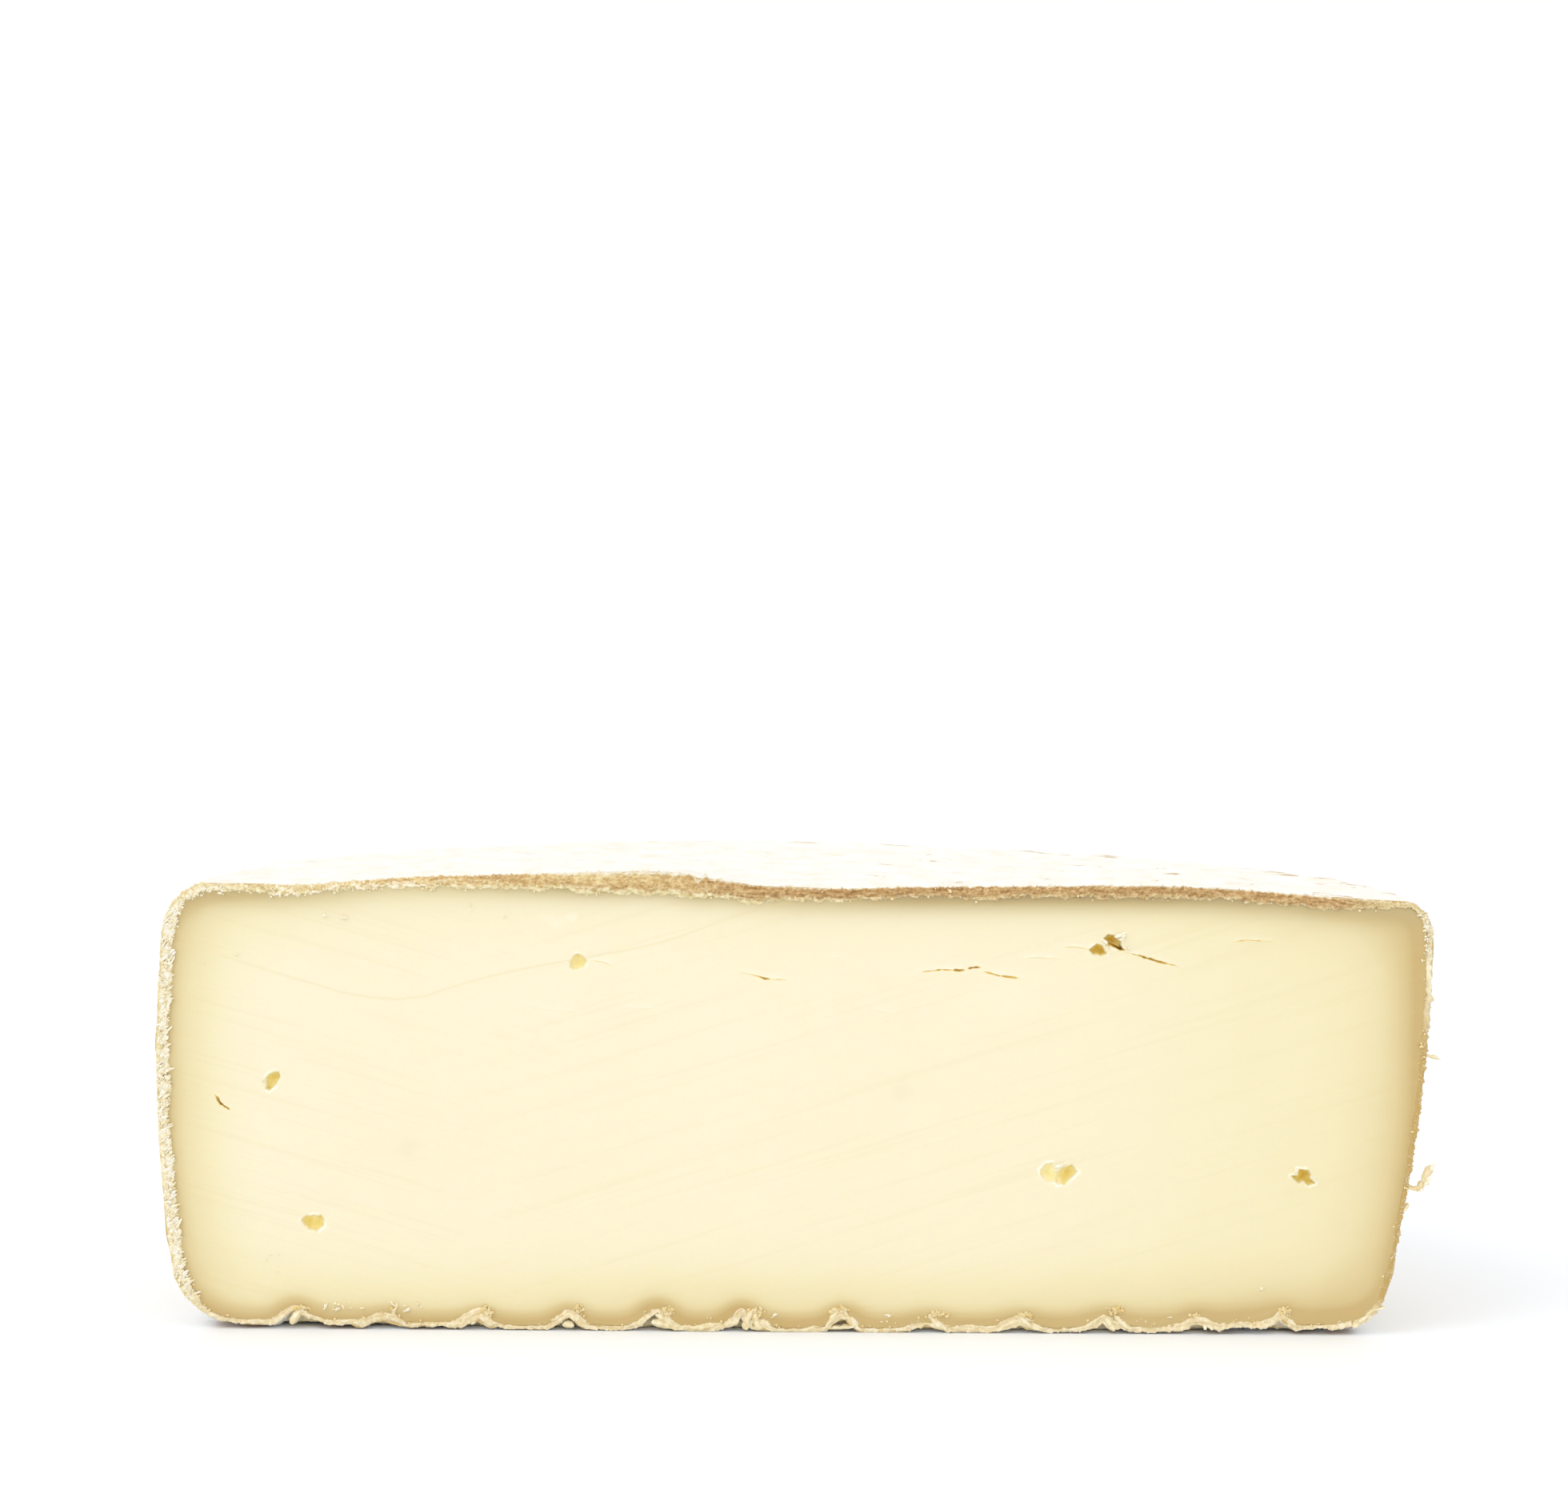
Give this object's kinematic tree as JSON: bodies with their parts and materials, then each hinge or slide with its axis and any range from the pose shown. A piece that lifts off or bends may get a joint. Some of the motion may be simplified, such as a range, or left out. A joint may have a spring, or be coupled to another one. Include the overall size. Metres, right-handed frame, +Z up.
{
  "type": "half cheese wheel",
  "caption": "Half of a round semi-soft cheese wheel, as cut: smooth pale paste with small eyes and splits, mould-ripened rind, slat-grooved underside.",
  "frame": {"origin": "centre of the bounding box's footprint, on the surface it rests on", "axes": "+X along the cut face, to the right of someone who looks at the cut; +Y from the cut face towards the round wall; +Z up, along the wheel's own axis"},
  "size_m": [0.22, 0.11, 0.0799],
  "materials": {
    "paste": "pale ivory-yellow semi-soft cheese paste, knife-cut, slightly waxy and translucent, browning towards the rind",
    "rind": "dry mould-ripened rind, chalky white bloom over buff and light brown, with cloth and mat marks, torn and crumbly where it is cut"
  },
  "bodies": {
    "root": {"cheese_half_wheel": "paste"}
  },
  "joints": []
}
